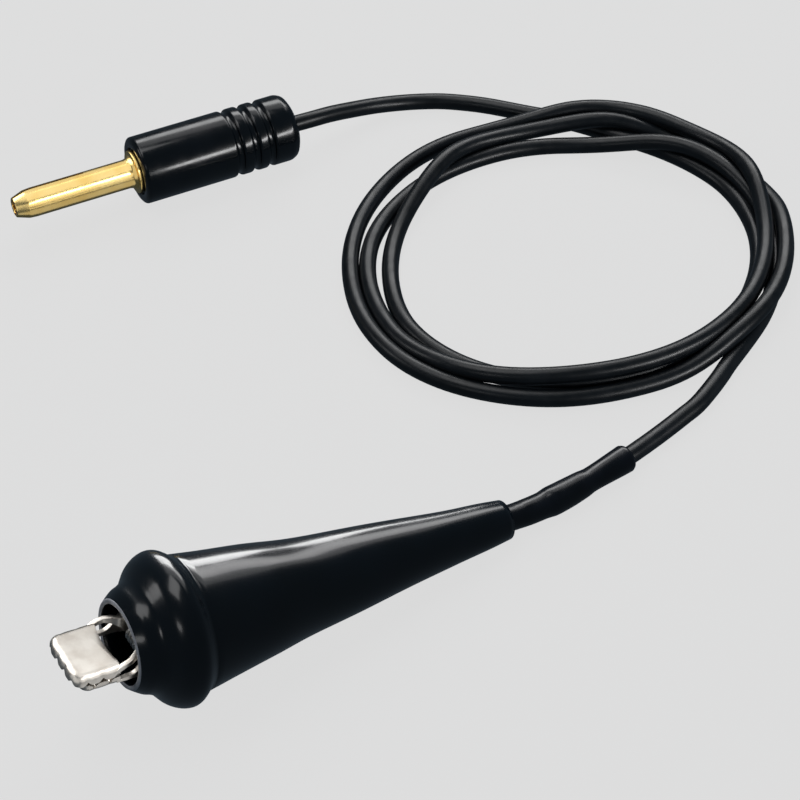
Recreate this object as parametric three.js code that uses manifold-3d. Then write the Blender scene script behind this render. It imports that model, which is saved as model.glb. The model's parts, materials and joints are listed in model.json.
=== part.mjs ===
// A single-core test lead for an oscilloscope or meter: a small spring clip in a vinyl
// boot at one end, a coiled PVC lead, and a 4 mm banana plug at the other end.
// Millimetres, +Z up. The clip's axis lies over X, its jaws towards -X, and z = 0 is the
// surface that the boot, the lead and the plug all rest on.
import * as THREE from 'three';
import { mergeVertices } from 'three/addons/utils/BufferGeometryUtils.js';
import Module from 'manifold-3d';

const wasm = await Module();
wasm.setup();

// ---------------------------------------------------------------- driving dimensions
const SHEET = 0.5;                 // thickness of the clip's nickel-plated steel sheet
const LEAD_R = 1.125;              // radius of the PVC jacket
const CORE_R = 0.5;                // radius of the stripped, twisted copper core

// The clip has its own frame: x runs back along the boot from the mouth, z is up. The boot
// lies on its bulge and on the end of its tail, so the bulge's size sets the clip's tilt.
const BULGE_X = 5.9;
const BULGE_R = 8.88;
const BOOT_LENGTH = 50;
const BOOT_TAIL_R = 2.4;
const CLIP_TILT = Math.atan2(BULGE_R - BOOT_TAIL_R, BOOT_LENGTH - BULGE_X);
const MOUTH = new THREE.Vector3(
  -21.43, 0, BULGE_X * Math.sin(CLIP_TILT) + BULGE_R * Math.cos(CLIP_TILT),
);
const BOOT_BORE_R = 1.82;          // at the tail, round the sleeve

const NOSE_FRONT = -6.9;           // front of the upper jaw, ahead of the mouth
const LOWER_NOSE_FRONT = -6.1;     // the lower jaw is a little shorter
const NOSE_REAR = -1.5;            // rear edge of the nose plates
const NOSE_TOP = 1.0;
const NOSE_BOTTOM = -1.85;
const NOSE_HALF_WIDTH = 3.75;
const NOSE_ROUND = 1.1;            // radius of the nose's front upper and lower edges
const TOOTH_PITCH = 1.75;
const TOOTH_DEPTH = 0.5;
const BITE_Z = -0.5;               // the line where the two rows of teeth meet
const BITE_GAP = 0.06;             // half the gap left between the closed teeth

const PIVOT = { x: 3.0, z: -0.4 };
const RIVET_R = 0.6;
const RIVET_HOLE_R = 0.9;
const RIVET_HEAD_R = 1.15;
const INNER_LUG_HALF = 2.65;       // the upper jaw's ears run inside the lower jaw's

const SPRING_WIRE_R = 0.22;
const SPRING_COIL_R = 1.3;
const SPRING_TURNS = 5;
const SPRING_HALF_LENGTH = 1.5;

const SLEEVE_R = 1.68;
const SLEEVE_BORE_R = 1.43;
const INNER_SLEEVE_R = 1.33;
const INNER_SLEEVE_BORE_R = 1.2;

// The lead's coil: a loose ring of a little over three turns.
const COIL_CENTRE = new THREE.Vector3(62.2, 37.8, 0);
const COIL_INNER_R = 22.3;
const COIL_OUTER_R = 31.4;
const COIL_HEIGHT = 5.6;
const COIL_EDGE = 1.1;             // rounding of the ring's section
const FLOOR_GAP = 0.02;            // the lead's solids stand this far above the surface

// The plug has its own frame: x runs back from the handle's front face.
const PLUG_FACE = new THREE.Vector3(18.4, 78.66, 4.72);
const PLUG_YAW = THREE.MathUtils.degToRad(-4.1);
const HANDLE_R = 4.7;
const HANDLE_LENGTH = 23.2;
const GROOVES_AT = [14.0, 16.4, 18.7];
const GROOVE_HALF_WIDTH = 0.42;
const GROOVE_DEPTH = 0.45;
const HANDLE_BORE_R = 2.95;
const CABLE_BORE_R = 1.45;
const CABLE_BORE_FROM = 13.5;      // where the wide bore narrows to the cable's
const PIN_R = 2.0;                 // a 4 mm plug
const PIN_LENGTH = 17.5;
const PIN_TIP_R = 1.35;
const PIN_CONE = 1.7;
const PIN_BORE_R = 1.25;
const PIN_SLOT_WIDTH = 0.45;
const PIN_SLOT_END = -7.2;
const FLANGE_R = 2.95;
const SHANK_R = 2.6;
const SHANK_END = 9.0;
const CUP_BORE_R = 1.25;
const CUP_FROM = 4.5;
const JACKET_START = 10.2;         // where the jacket ends inside the handle

// The lead's free stretches, hand-laid: out of the boot's tail and off to the coil, then
// from the coil to the plug.
const TAIL_ROUTE = [
  [30.4, 0.05, 1.98], [33.2, 0.1, 1.78], [36.4, 0.3, 1.72], [39.6, 0.65, 1.71],
  [43.0, 1.1, 1.71], [46.6, 1.65, 1.68], [48.8, 2.2, 1.5], [51.4, 2.9, 1.28],
  [54.4, 3.7, 1.16], [57.4, 4.5, 1.15], [59.6, 5.1, 1.15],
];
const PLUG_ROUTE = [
  [44.6, 76.85, 4.58], [48.2, 77.25, 3.95], [52.0, 77.75, 2.95], [55.6, 77.95, 2.1],
  [59.2, 77.5, 1.5], [62.4, 76.5, 1.2], [65.2, 75.0, 1.15], [67.8, 73.0, 1.15],
  [70.2, 70.8, 1.15], [72.4, 68.7, 1.15],
];
const SLEEVE_END = [46.6, 1.65, 1.68];

// ---------------------------------------------------------------- materials
function material(color, roughness, metalness) {
  return new THREE.MeshStandardMaterial({ color, roughness, metalness });
}

const VINYL = material(0x0b0d0e, 0.18, 0);
const SHRINK = material(0x0d0f12, 0.32, 0);
const JACKET = material(0x1b1d1f, 0.42, 0);
const HANDLE_PLASTIC = material(0x0a0c0d, 0.22, 0);
const NICKEL = material(0xc9c2b8, 0.28, 1);
const GOLD = material(0xe6c274, 0.2, 1);
const SPRING_STEEL = material(0xb9b9b6, 0.3, 1);
const COPPER = material(0xc9885c, 0.4, 1);
const TIN = material(0xb8babb, 0.35, 1);

// ---------------------------------------------------------------- geometry helpers
// Position-only copy with shared vertices, wound so that its faces point outwards.
function closed(geometry) {
  const plain = geometry.clone();
  plain.deleteAttribute('normal');
  plain.deleteAttribute('uv');
  const merged = mergeVertices(plain, 1e-5);
  const p = merged.attributes.position;
  const index = Array.from(merged.index.array);
  const tris = [];
  for (let i = 0; i < index.length; i += 3) {
    const [a, b, c] = index.slice(i, i + 3);
    if (a !== b && b !== c && c !== a) tris.push([a, b, c]);
  }
  const at = (k) => new THREE.Vector3().fromBufferAttribute(p, k);
  const volume = tris.reduce((sum, [a, b, c]) => sum + at(a).dot(at(b).cross(at(c))), 0);
  merged.setIndex(tris.flatMap(([a, b, c]) => (volume < 0 ? [a, c, b] : [a, b, c])));
  return merged;
}

function toSolid(geometry) {
  const g = closed(geometry);
  return new wasm.Manifold(new wasm.Mesh({
    numProp: 3,
    vertProperties: new Float32Array(g.attributes.position.array),
    triVerts: new Uint32Array(g.index.array),
  }));
}

function toGeometry(solid) {
  const mesh = solid.getMesh();
  const g = new THREE.BufferGeometry();
  g.setAttribute('position', new THREE.BufferAttribute(new Float32Array(mesh.vertProperties), 3));
  g.setIndex(new THREE.BufferAttribute(new Uint32Array(mesh.triVerts), 1));
  return g;
}

function union(geometries) {
  return geometries.map(toSolid).reduce((whole, piece) => whole.add(piece));
}

// A solid of revolution about x, from [x, radius] points.
function turned(points, segments) {
  const profile = points.map(([x, r]) => new THREE.Vector2(r, x));
  return closed(new THREE.LatheGeometry(profile, segments).rotateZ(-Math.PI / 2));
}

// A flat outline in x and z, extruded across y from y0 to y1.
function plateXZ(points, y0, y1) {
  const shape = new THREE.Shape(points.map(([x, z]) => new THREE.Vector2(x, z)));
  const g = new THREE.ExtrudeGeometry(shape, { depth: y1 - y0, bevelEnabled: false });
  return g.rotateX(Math.PI / 2).translate(0, y1, 0);
}

// A flat outline in x and y, extruded up z from z0 to z1.
function plateXY(points, z0, z1) {
  const shape = new THREE.Shape(points.map(([x, y]) => new THREE.Vector2(x, y)));
  const g = new THREE.ExtrudeGeometry(shape, { depth: z1 - z0, bevelEnabled: false });
  return g.translate(0, 0, z0);
}

function box(x0, x1, y0, y1, z0, z1) {
  const g = new THREE.BoxGeometry(x1 - x0, y1 - y0, z1 - z0);
  return g.translate((x0 + x1) / 2, (y0 + y1) / 2, (z0 + z1) / 2);
}

// A cylinder along y through the pivot.
function acrossPivot(radius, y0, y1, segments) {
  const g = new THREE.CylinderGeometry(radius, radius, y1 - y0, segments);
  return g.translate(PIVOT.x, (y0 + y1) / 2, PIVOT.z);
}

// A round tube, or a hollow one when bore is given, swept along a curve.
function tube(curve, radius, sides, steps, bore = 0) {
  const shape = new THREE.Shape();
  const ring = (r) => Array.from({ length: sides }, (_, i) => {
    const a = (2 * Math.PI * i) / sides;
    return new THREE.Vector2(r * Math.cos(a), r * Math.sin(a));
  });
  shape.setFromPoints(ring(radius));
  if (bore > 0) shape.holes.push(new THREE.Path().setFromPoints(ring(bore)));
  return closed(new THREE.ExtrudeGeometry(shape, {
    steps, bevelEnabled: false, extrudePath: curve,
  }));
}

function named(name, geometry, look) {
  const mesh = new THREE.Mesh(geometry, look);
  mesh.name = name;
  return mesh;
}

// ---------------------------------------------------------------- clip frame
const clip = new THREE.Group();
clip.position.copy(MOUTH);
clip.rotation.y = CLIP_TILT;
clip.updateMatrixWorld(true);

function fromClip(x, y, z) {
  return new THREE.Vector3(x, y, z).applyMatrix4(clip.matrixWorld);
}

// ---------------------------------------------------------------- jaws
// Notches that leave a row of teeth along an edge, as points along the edge and z. side is
// +1 for the upper jaw, notched from below, and -1 for the lower one, notched from above.
function notches(side, from, to) {
  const mouth = BITE_Z - side * 0.2;
  const root = BITE_Z + side * (BITE_GAP + TOOTH_DEPTH);
  const cuts = [];
  for (let a = from; a < to; a += TOOTH_PITCH) {
    cuts.push([[a - 0.6, mouth], [a + 0.6, mouth], [a, root]]);
  }
  return cuts;
}

// Side outline of the nose box: flat top or bottom, a rounded front edge and teeth.
function noseWall(side, outerZ, front, y0, y1) {
  const round = [];
  for (let i = 0; i <= 3; i += 1) {
    const a = (Math.PI / 2) * (i / 3);
    round.push([
      front + NOSE_ROUND * (1 - Math.sin(a)),
      outerZ - side * NOSE_ROUND * (1 - Math.cos(a)),
    ]);
  }
  const edge = BITE_Z + side * BITE_GAP;
  return plateXZ([
    [NOSE_REAR, outerZ], ...round, [front, edge], [NOSE_REAR, edge],
  ], y0, y1);
}

// The nose box as a solid block with its inside milled away, open towards the other jaw.
function noseBox(side, outerZ, front) {
  const half = NOSE_HALF_WIDTH;
  const block = toSolid(noseWall(side, outerZ, front, -half, half));
  const inner = outerZ - side * SHEET;
  const past = BITE_Z - side * 1;
  const hollow = toSolid(box(
    front + SHEET, NOSE_REAR + 1, -half + SHEET, half - SHEET,
    Math.min(inner, past), Math.max(inner, past),
  ));
  const reach = half + 1;
  const sideCuts = notches(side, front + 1.4, NOSE_REAR - 0.6)
    .map((cut) => plateXZ(cut, -reach, reach));
  const frontCuts = notches(side, -1.5 * TOOTH_PITCH, half)
    .map((cut) => plateXZ(cut, 0, 2).rotateZ(Math.PI / 2).translate(front + 1, 0, 0));
  return block.subtract(hollow).subtract(union([...sideCuts, ...frontCuts]));
}

// A bent strip of sheet: a line of [x, z] points on its underside, half as wide as given.
function strip(line, halfWidth) {
  const upper = line.map(([x, z]) => [x, z + SHEET]).reverse();
  return plateXZ([...line, ...upper], -halfWidth, halfWidth);
}

function mirrored(make) {
  return [make(1), make(-1)];
}

// The lower jaw: nose box, ears for the rivet, and a tail that ends in the wire crimp.
function lowerJaw() {
  const half = NOSE_HALF_WIDTH;
  const ears = mirrored((s) => {
    const y = [s * half, s * (half - SHEET)].sort((a, b) => a - b);
    return plateXZ([
      [NOSE_REAR - 0.6, NOSE_BOTTOM], [NOSE_REAR - 0.6, BITE_Z - BITE_GAP],
      [0.4, BITE_Z - BITE_GAP], [1.7, 1.0], [4.3, 1.0], [5.6, -1.2], [8.4, -2.6],
      [8.4, -3.55], [5.6, -3.05], [2.4, NOSE_BOTTOM],
    ], y[0], y[1]);
  });
  const tail = [
    strip([[2.6, -2.35], [5.6, -3.3], [8.4, -3.9]], half),
    strip([[8.1, -3.85], [16.6, -4.55], [20.4, -2.1], [27.0, -1.95]], 2.0),
  ];
  const crimp = mirrored((s) => {
    const y = [s * 1.0, s * (1.0 + SHEET)].sort((a, b) => a - b);
    return plateXZ([[21.2, -1.9], [21.5, -0.1], [24.6, -0.1], [24.9, -1.9]], y[0], y[1]);
  });
  const holes = toSolid(acrossPivot(RIVET_HOLE_R, -half - 1, half + 1, 16));
  return union([...ears, ...tail, ...crimp]).add(noseBox(-1, NOSE_BOTTOM, LOWER_NOSE_FRONT)).subtract(holes);
}

// The upper jaw: nose box, arms that step in between the lower ears, and a thumb lever.
function upperJaw() {
  const half = NOSE_HALF_WIDTH;
  const lug = INNER_LUG_HALF;
  const arms = mirrored((s) => plateXY([
    [NOSE_REAR - 0.4, s * half], [NOSE_REAR - 0.4, s * (half - SHEET)],
    [NOSE_REAR, s * (half - SHEET)], [0.3, s * (lug - SHEET)], [1.3, s * (lug - SHEET)],
    [1.3, s * lug], [0.3, s * lug], [NOSE_REAR, s * half],
  ], BITE_Z + BITE_GAP, 0.65));
  const ears = mirrored((s) => {
    const y = [s * lug, s * (lug - SHEET)].sort((a, b) => a - b);
    return plateXZ([
      [0.9, BITE_Z + BITE_GAP], [0.9, 0.65], [3.4, 1.75], [6.2, 2.9], [6.2, 1.5],
      [4.6, -0.4], [3.8, -1.6], [2.2, -1.6], [1.4, -0.6],
    ], y[0], y[1]);
  });
  const lever = [
    strip([[5.4, 2.1], [11.6, 4.2], [16.4, 4.2]], 1.9),
    strip([[5.4, 2.1], [6.2, 2.4]], lug),
  ];
  const holes = toSolid(acrossPivot(RIVET_HOLE_R, -half - 1, half + 1, 16));
  return union([...arms, ...ears, ...lever]).add(noseBox(1, NOSE_TOP, NOSE_FRONT)).subtract(holes);
}

function pivotRivet() {
  const end = NOSE_HALF_WIDTH + 0.3;
  const head = 0.45;
  return union([
    acrossPivot(RIVET_R, -end - 0.1, end + 0.1, 14),
    acrossPivot(RIVET_HEAD_R, end, end + head, 14),
    acrossPivot(RIVET_HEAD_R, -end - head, -end, 14),
  ]);
}

// The torsion spring: a coil round the rivet with a leg under each jaw's tail.
function jawSpring() {
  const points = [];
  const perTurn = 10;
  const count = SPRING_TURNS * perTurn + perTurn / 2;
  points.push([9.6, -SPRING_HALF_LENGTH, 2.75], [6.4, -SPRING_HALF_LENGTH, 1.75]);
  for (let i = 0; i <= count; i += 1) {
    const a = Math.PI / 2 + 0.3 + (2 * Math.PI * i) / perTurn;
    points.push([
      PIVOT.x + SPRING_COIL_R * Math.cos(a),
      -SPRING_HALF_LENGTH + (2 * SPRING_HALF_LENGTH * i) / count,
      PIVOT.z + SPRING_COIL_R * Math.sin(a),
    ]);
  }
  points.push([6.0, SPRING_HALF_LENGTH, -2.2], [9.4, SPRING_HALF_LENGTH, -2.85]);
  const curve = new THREE.CatmullRomCurve3(points.map((p) => new THREE.Vector3(...p)));
  return tube(curve, SPRING_WIRE_R, 6, 100);
}

clip.add(
  named('upper_jaw', toGeometry(upperJaw()), NICKEL),
  named('lower_jaw', toGeometry(lowerJaw()), NICKEL),
  named('pivot_rivet', toGeometry(pivotRivet()), NICKEL),
  named('jaw_spring', jawSpring(), SPRING_STEEL),
);

// ---------------------------------------------------------------- boot
// Outside: a flared lip, a round bulge, a waist crease, then a long slightly hollow cone.
const BOOT_OUTSIDE = [
  [0.0, 5.0], [0.35, 5.35], [1.3, 5.95], [2.5, 6.45], [3.3, 7.3], [4.1, 8.15], [5.0, 8.7],
  [BULGE_X, BULGE_R], [6.7, 8.7], [7.5, 8.25], [8.3, 7.92], [9.6, 7.58], [13, 7.05], [17, 6.45],
  [22, 5.65], [29, 4.78], [36, 3.93], [43, 3.16], [47, 2.75], [BOOT_LENGTH, BOOT_TAIL_R],
];
const BOOT_INSIDE = [
  [BOOT_LENGTH, BOOT_BORE_R], [43.5, BOOT_BORE_R], [38, 2.75], [29, 3.9], [22, 4.75],
  [17, 5.55], [13, 6.15], [9.6, 6.68], [7.8, 7.2], [5.9, 7.95], [4.4, 7.5], [3.1, 6.3],
  [1.9, 5.6], [0.8, 4.95], [0.0, 4.65],
];

function insulatingBoot() {
  return turned([...BOOT_OUTSIDE, ...BOOT_INSIDE, BOOT_OUTSIDE[0]], 32);
}

clip.add(named('insulating_boot', insulatingBoot(), VINYL));

// ---------------------------------------------------------------- wire joint in the clip
const CLIP_CORE_Z = -0.75;         // height of the core in the crimp
clip.add(named(
  'clip_conductor',
  turned([[20.9, 0], [20.9, CORE_R], [26.9, CORE_R], [26.9, 0]], 10).translate(0, 0, CLIP_CORE_Z),
  COPPER,
));

// Solder bridging the tops of the two crimp lugs above the core.
function clipSolder() {
  const outline = [
    [22.0, 0.2], [22.3, 0.75], [23.05, 0.95], [23.8, 0.75], [24.1, 0.2],
  ];
  return closed(plateXZ(outline, -0.85, 0.85));
}

clip.add(named('clip_solder', clipSolder(), TIN));

// ---------------------------------------------------------------- lead, clip end
const vectors = (list) => list.map((p) => new THREE.Vector3(...p));

const insideBoot = [
  fromClip(27.2, 0, CLIP_CORE_Z), fromClip(30, 0, -0.55), fromClip(34, 0, -0.2),
  fromClip(38, 0, 0), fromClip(43, 0, 0), fromClip(47, 0, 0), fromClip(50, 0, 0),
];
const tailRun = [...insideBoot, ...vectors(TAIL_ROUTE)];

// The part of the run that a sleeve covers, from one of its points to another.
function covered(from, to) {
  return new THREE.CatmullRomCurve3(tailRun.slice(from, to + 1));
}

const sleeveLast = tailRun.findIndex((p) => p.distanceTo(new THREE.Vector3(...SLEEVE_END)) < 0.01);

const root = new THREE.Group();
root.add(
  clip,
  named('lead_clip_run', tube(new THREE.CatmullRomCurve3(tailRun), LEAD_R, 8, 34), JACKET),
  named('outer_sleeve', tube(covered(4, sleeveLast), SLEEVE_R, 16, 20, SLEEVE_BORE_R), SHRINK),
  named(
    'inner_sleeve',
    tube(covered(4, sleeveLast - 2), INNER_SLEEVE_R, 16, 16, INNER_SLEEVE_BORE_R),
    SHRINK,
  ),
);

// ---------------------------------------------------------------- lead, coil
function leadCoil() {
  const low = FLOOR_GAP;
  const high = COIL_HEIGHT;
  const inner = COIL_INNER_R;
  const outer = COIL_OUTER_R;
  const section = [
    [inner + COIL_EDGE, low], [outer - COIL_EDGE, low], [outer, low + COIL_EDGE],
    [outer, high - COIL_EDGE], [outer - COIL_EDGE, high], [inner + COIL_EDGE, high],
    [inner, high - COIL_EDGE], [inner, low + COIL_EDGE], [inner + COIL_EDGE, low],
  ];
  const profile = section.map(([r, z]) => new THREE.Vector2(r, z));
  const ring = new THREE.LatheGeometry(profile, 48).rotateX(Math.PI / 2);
  return closed(ring);
}

const coil = named('lead_coil', leadCoil(), JACKET);
coil.position.copy(COIL_CENTRE);
root.add(coil);

// ---------------------------------------------------------------- plug
const plug = new THREE.Group();
plug.position.copy(PLUG_FACE);
plug.rotation.z = PLUG_YAW;
plug.updateMatrixWorld(true);

function fromPlug(x, y, z) {
  return new THREE.Vector3(x, y, z).applyMatrix4(plug.matrixWorld);
}

function plugHandle() {
  const grooves = GROOVES_AT.flatMap((x) => [
    [x - GROOVE_HALF_WIDTH, HANDLE_R], [x - GROOVE_HALF_WIDTH, HANDLE_R - GROOVE_DEPTH],
    [x + GROOVE_HALF_WIDTH, HANDLE_R - GROOVE_DEPTH], [x + GROOVE_HALF_WIDTH, HANDLE_R],
  ]);
  const outside = [
    [0, 4.1], [0.2, 4.5], [0.65, HANDLE_R], ...grooves, [21.6, HANDLE_R], [22.5, 4.4],
    [HANDLE_LENGTH, 3.5],
  ];
  const inside = [
    [HANDLE_LENGTH, CABLE_BORE_R], [CABLE_BORE_FROM, CABLE_BORE_R],
    [CABLE_BORE_FROM - 1, HANDLE_BORE_R], [0.45, HANDLE_BORE_R], [0.45, 3.25], [0, 3.25],
  ];
  return turned([...outside, ...inside, outside[0]], 32);
}

// The plug's contact, turned from brass: a hollow split pin, a flange and a solder cup.
function plugPin() {
  const tip = -PIN_LENGTH;
  const body = turned([
    [tip, 0.85], [tip, PIN_TIP_R], [tip + PIN_CONE, PIN_R - 0.08], [tip + PIN_CONE + 1, PIN_R],
    [-1.3, PIN_R], [-0.8, 2.1], [-0.45, 2.45], [-0.45, FLANGE_R], [0.1, FLANGE_R],
    [0.1, SHANK_R], [SHANK_END, SHANK_R], [SHANK_END, CUP_BORE_R], [CUP_FROM, CUP_BORE_R],
    [CUP_FROM - 0.7, 0.25], [-3.0, 0.25], [-3.6, PIN_BORE_R], [tip + PIN_CONE, PIN_BORE_R],
    [tip, 0.85],
  ], 28);
  const slot = box(tip - 1, PIN_SLOT_END, -PIN_SLOT_WIDTH / 2, PIN_SLOT_WIDTH / 2, -3, 3);
  return toSolid(body).subtract(toSolid(slot.rotateX(Math.PI / 4)));
}

plug.add(
  named('plug_handle', plugHandle(), HANDLE_PLASTIC),
  named('plug_pin', toGeometry(plugPin()), GOLD),
  named(
    'plug_conductor',
    turned([[CUP_FROM + 0.5, 0], [CUP_FROM + 0.5, CORE_R], [9.9, CORE_R], [9.9, 0]], 10),
    COPPER,
  ),
  named(
    'plug_solder',
    turned([[6.4, 0.62], [6.4, 1.12], [9.0, 1.12], [9.3, 0.62], [6.4, 0.62]], 12),
    TIN,
  ),
);

const plugRun = [
  fromPlug(JACKET_START, 0, 0), fromPlug(15, 0, 0), fromPlug(19, 0, 0),
  fromPlug(HANDLE_LENGTH, 0, 0), ...vectors(PLUG_ROUTE),
];
root.add(
  plug,
  named('lead_plug_run', tube(new THREE.CatmullRomCurve3(plugRun), LEAD_R, 8, 30), JACKET),
);

export default root;
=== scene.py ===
"""Looks for a single-core test lead: a spring clip in a vinyl boot, a coiled lead and a 4 mm plug.

Lengths are written in millimetres in each piece's own frame and are turned into the row
frame, in metres, as each mesh is made.
"""

import json
import math

import bmesh
import bpy
import numpy as np
from mathutils import Matrix, Vector

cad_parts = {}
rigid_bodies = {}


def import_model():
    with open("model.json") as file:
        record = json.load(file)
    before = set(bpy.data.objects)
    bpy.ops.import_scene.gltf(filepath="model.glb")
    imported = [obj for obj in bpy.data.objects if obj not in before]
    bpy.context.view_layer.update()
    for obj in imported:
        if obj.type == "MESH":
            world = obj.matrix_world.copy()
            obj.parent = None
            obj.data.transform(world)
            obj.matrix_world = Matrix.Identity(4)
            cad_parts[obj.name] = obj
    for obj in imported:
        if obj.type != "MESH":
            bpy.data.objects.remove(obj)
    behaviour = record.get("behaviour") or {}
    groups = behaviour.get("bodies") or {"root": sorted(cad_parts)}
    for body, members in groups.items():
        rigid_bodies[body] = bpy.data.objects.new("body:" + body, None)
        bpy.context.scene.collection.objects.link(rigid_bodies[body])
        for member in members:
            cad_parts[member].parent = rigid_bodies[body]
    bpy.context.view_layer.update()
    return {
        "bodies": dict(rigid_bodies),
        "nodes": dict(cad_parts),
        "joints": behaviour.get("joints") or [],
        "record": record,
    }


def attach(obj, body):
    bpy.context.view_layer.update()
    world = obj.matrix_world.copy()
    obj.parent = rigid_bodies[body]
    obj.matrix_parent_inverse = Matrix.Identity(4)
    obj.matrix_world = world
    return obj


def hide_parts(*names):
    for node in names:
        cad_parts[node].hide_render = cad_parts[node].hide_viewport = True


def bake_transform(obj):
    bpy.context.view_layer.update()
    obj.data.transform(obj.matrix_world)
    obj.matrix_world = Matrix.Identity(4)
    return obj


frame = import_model()

MM = 0.001
CLIP_BODY = "clip_and_lead"
JAW_BODY = "jaw"

# ---------------------------------------------------------------- frames of the two ends
# The clip's frame: x back along the boot from its mouth, z up. The boot lies on its bulge
# and its tail, and that sets the tilt.
BULGE_X, BULGE_R = 5.9, 8.88
BOOT_LENGTH, BOOT_TAIL_R = 50.0, 2.4
CLIP_TILT = math.atan2(BULGE_R - BOOT_TAIL_R, BOOT_LENGTH - BULGE_X)
MOUTH = Vector((
    -21.43, 0, BULGE_X * math.sin(CLIP_TILT) + BULGE_R * math.cos(CLIP_TILT),
))
CLIP_FRAME = Matrix.Translation(MOUTH) @ Matrix.Rotation(CLIP_TILT, 4, "Y")

# The plug's frame: x back from the front face of its handle.
PLUG_FACE = (18.4, 78.66, 4.72)
PLUG_YAW = math.radians(-4.1)
PLUG_FRAME = Matrix.Translation(PLUG_FACE) @ Matrix.Rotation(PLUG_YAW, 4, "Z")


def from_clip(x, y, z):
    """A point of the clip's frame in the row frame, in millimetres."""
    return tuple(CLIP_FRAME @ Vector((x, y, z)))


def from_plug(x, y, z):
    """A point of the plug's frame in the row frame, in millimetres."""
    return tuple(PLUG_FRAME @ Vector((x, y, z)))


# ---------------------------------------------------------------- camera
CAMERA_AT = Vector((-76.75, -152.7, 200.4))
CAMERA_AIM = Vector((29.05, 25.8, 0))
LENS, SENSOR = 103.5, 36


def make_camera():
    """A short telephoto view from above and in front of the clip."""
    data = bpy.data.cameras.new("camera")
    data.lens = LENS
    data.sensor_width = SENSOR
    data.clip_start = 0.01
    camera = bpy.data.objects.new("camera", data)
    bpy.context.scene.collection.objects.link(camera)
    camera.location = CAMERA_AT * MM
    aim = CAMERA_AIM * MM - camera.location
    camera.rotation_euler = aim.to_track_quat("-Z", "Y").to_euler()
    bpy.context.scene.camera = camera


make_camera()

# ---------------------------------------------------------------- the lead's path
LEAD_R = 1.15
SPACING = 1.15                     # between points of the lead's centre line

TAIL_ROUTE = [
    (30.4, 0.05, 1.98), (33.2, 0.1, 1.78), (36.4, 0.3, 1.72), (39.6, 0.65, 1.71),
    (43.0, 1.1, 1.71), (46.6, 1.65, 1.68), (48.8, 2.2, 1.5), (51.4, 2.9, 1.28),
    (54.4, 3.7, 1.16), (57.4, 4.5, 1.15), (59.6, 5.1, 1.15), (62.7, 6.5, 1.15),
    (65.2, 7.8, 1.15), (67.7, 9.3, 1.15),
]
PLUG_ROUTE = [
    (44.6, 76.85, 4.58), (48.2, 77.25, 3.95), (52.0, 77.75, 2.95), (55.6, 77.95, 2.1),
    (59.2, 77.5, 1.5), (62.4, 76.5, 1.2), (65.2, 75.0, 1.15), (67.8, 73.0, 1.15),
    (70.2, 70.8, 1.15),
]

COIL_CENTRE = (62.2, 37.8)
# How the turns lie: degrees clockwise, distance from the coil's centre, and height of the
# lead's centre, listed from the plug's side to the clip's.
TURNS = [
    # in under the other turns, round the inside, and up over the third turn's end
    (-73, 32.6, 1.15), (-66, 30.6, 1.15), (-57, 28.6, 1.15), (-45, 26.9, 1.15),
    (-32, 26.2, 1.15), (-15, 26.2, 1.15), (0, 26.7, 1.15), (14, 26.7, 1.15),
    (30, 25.6, 1.15), (45, 24.9, 1.15), (75, 24.6, 1.15), (105, 24.7, 1.15),
    (118, 25.1, 1.15), (135, 25.7, 1.15), (150, 26.3, 1.15), (168, 26.5, 1.15),
    (180, 25.85, 1.15), (190, 24.8, 1.15), (200, 24.05, 1.15), (212, 23.35, 1.15),
    (220, 23.1, 1.4), (230, 22.8, 2.2), (240, 22.7, 2.9), (250, 22.9, 3.3),
    (260, 24.0, 3.4),
    # over the first turn, under the next, over the clip's end, then round the outside
    (280, 24.9, 3.2), (300, 25.7, 3.4), (310, 26.5, 3.4), (317, 27.3, 3.2),
    (325, 28.3, 2.5), (333, 29.4, 1.5), (340, 30.0, 1.15),
    (345, 30.3, 1.15), (361, 30.4, 1.4), (372, 29.8, 2.2), (380, 29.4, 2.9),
    (388, 28.9, 3.3), (400, 28.5, 3.35), (412, 28.1, 3.35), (425, 27.6, 3.3),
    (438, 27.2, 2.6), (450, 27.0, 1.8), (460, 26.9, 1.4), (470, 27.2, 1.15),
    (486, 28.2, 1.15), (500, 29.1, 1.15), (516, 30.2, 1.15), (530, 30.7, 1.15),
    (544, 30.3, 1.15), (560, 29.3, 1.15), (580, 28.6, 1.15), (600, 28.25, 1.15),
    # over the plug's end, then right across the others to the inside and out between them
    (620, 28.5, 1.15), (632, 28.3, 1.5), (648, 27.8, 2.8), (656, 27.8, 3.4),
    (664, 28.7, 3.3), (671, 29.9, 2.2), (678, 30.4, 1.7), (685, 30.1, 2.1),
    (693, 29.7, 3.4), (702, 29.9, 3.9), (710, 29.9, 4.0),
    (720, 29.1, 4.0), (732, 27.6, 3.8), (742, 26.7, 3.5), (760, 25.7, 3.4),
    (780, 25.3, 3.4), (800, 25.1, 3.35), (820, 25.1, 3.4), (836, 25.5, 3.4),
    (850, 26.4, 3.4), (860, 27.3, 3.3), (872, 28.3, 2.5), (890, 28.4, 1.6),
    (910, 27.6, 1.15), (932, 26.5, 1.15), (944, 25.6, 1.15), (960, 24.3, 1.15),
    # the clip's end: along the inside, over the first turn and out under the second
    (975, 23.6, 1.15), (990, 23.1, 1.15), (1010, 23.0, 1.15), (1022, 23.1, 1.3),
    (1032, 23.4, 1.9), (1040, 23.8, 2.8), (1048, 24.6, 3.3), (1056, 26.0, 3.4),
    (1066, 27.2, 3.2), (1080, 27.6, 2.7), (1095, 27.8, 1.9), (1110, 27.7, 1.3),
    (1125, 27.5, 1.15), (1140, 27.7, 1.15), (1151, 28.0, 1.15),
]


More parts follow.
